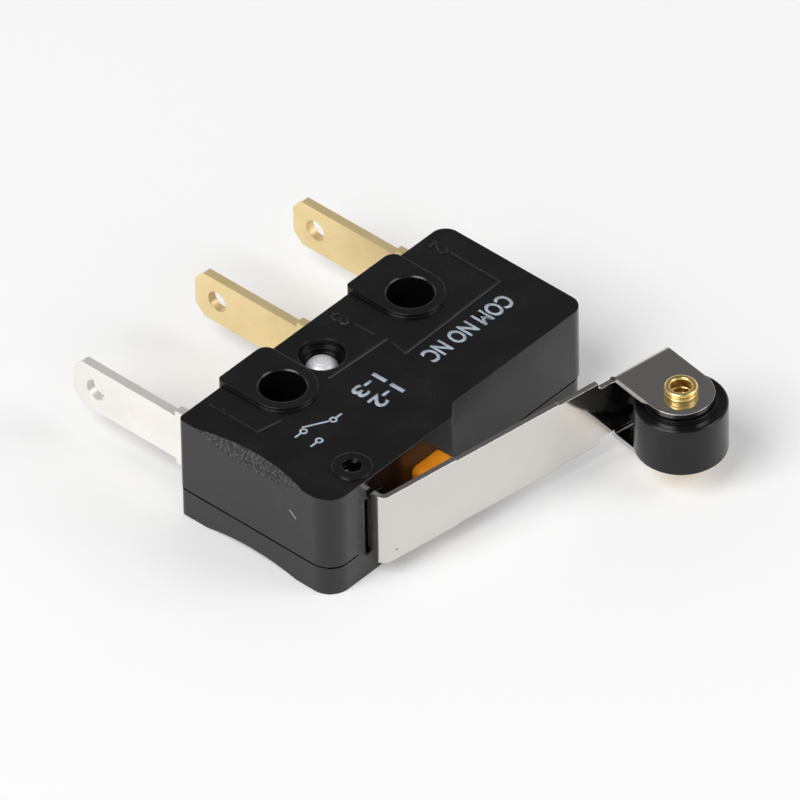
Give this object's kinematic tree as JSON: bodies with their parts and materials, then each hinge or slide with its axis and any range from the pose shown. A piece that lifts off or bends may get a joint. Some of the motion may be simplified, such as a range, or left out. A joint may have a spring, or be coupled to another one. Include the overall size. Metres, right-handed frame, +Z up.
{
  "type": "lever micro switch",
  "caption": "Flat snap-action switch in a two-part black case, with a hinged roller lever over an orange plunger and flat tab terminals on the opposite side.",
  "frame": {"origin": "on the axis of the mounting hole nearest the common terminal, at the cover's outer face", "axes": "+X along the case from the common terminal's end, +Y towards the terminals with the lever on the -Y side, +Z up through the thickness from the cover to the raised pads"},
  "size_m": [0.0211, 0.0277, 0.0064],
  "materials": {
    "case_black": "satin moulded thermoset, near black",
    "cover_black": "satin moulded thermoset, near black",
    "rivet_steel": "turned and formed, bright",
    "terminal_silver": "pale silver plate on brass sheet",
    "terminal_brass": "pale yellow brass sheet, rolled",
    "contact_silver": "silver alloy contact",
    "spring_copper": "beryllium copper strip, thin",
    "plunger_orange": "smooth moulded, orange",
    "lever_steel": "polished stainless spring sheet",
    "axle_brass": "turned yellow brass with formed ends",
    "roller_black": "glossy moulded, black"
  },
  "bodies": {
    "housing": {"case": "case_black", "cover": "cover_black", "case_rivet": "rivet_steel", "common_terminal": "terminal_silver", "normally_open_terminal": "terminal_brass", "normally_closed_terminal": "terminal_brass", "normally_open_contact": "contact_silver", "normally_closed_contact": "contact_silver"},
    "lever_arm": {"lever": "lever_steel", "roller_axle": "axle_brass"},
    "roller_wheel": {"roller": "roller_black"},
    "push_button": {"plunger": "plunger_orange"},
    "contact_arm": {"snap_blade": "spring_copper", "moving_contact": "contact_silver"}
  },
  "joints": [
    {"name": "lever_hinge", "type": "hinge", "parent": "housing", "child": "lever_arm", "pos_m": [-0.00215, -0.0066, 0.0032], "axis": [0, 0, 1], "range_deg": [0, 13.4], "stiffness_Nm_per_rad": 0.02, "springref_deg": -5.73},
    {"name": "roller_spin", "type": "hinge", "parent": "lever_arm", "child": "roller_wheel", "pos_m": [0.01362, -0.01438, 0.0032], "axis": [0, 0, 1], "continuous": true},
    {"name": "plunger_slide", "type": "slide", "parent": "housing", "child": "push_button", "axis": [0, 1, 0], "range_m": [0, 0.000983]},
    {"name": "contact_swing", "type": "hinge", "parent": "housing", "child": "contact_arm", "pos_m": [-0.00345, -0.00421, 0.0032], "axis": [0, 0, 1], "range_deg": [0, 2.36], "deforming": ["snap_blade"]}
  ],
  "couplings": [
    {"joint": "plunger_slide", "follows": "lever_hinge", "m_per_rad": 0.004194},
    {"joint": "contact_swing", "follows": "lever_hinge", "ratio": 0.175}
  ]
}
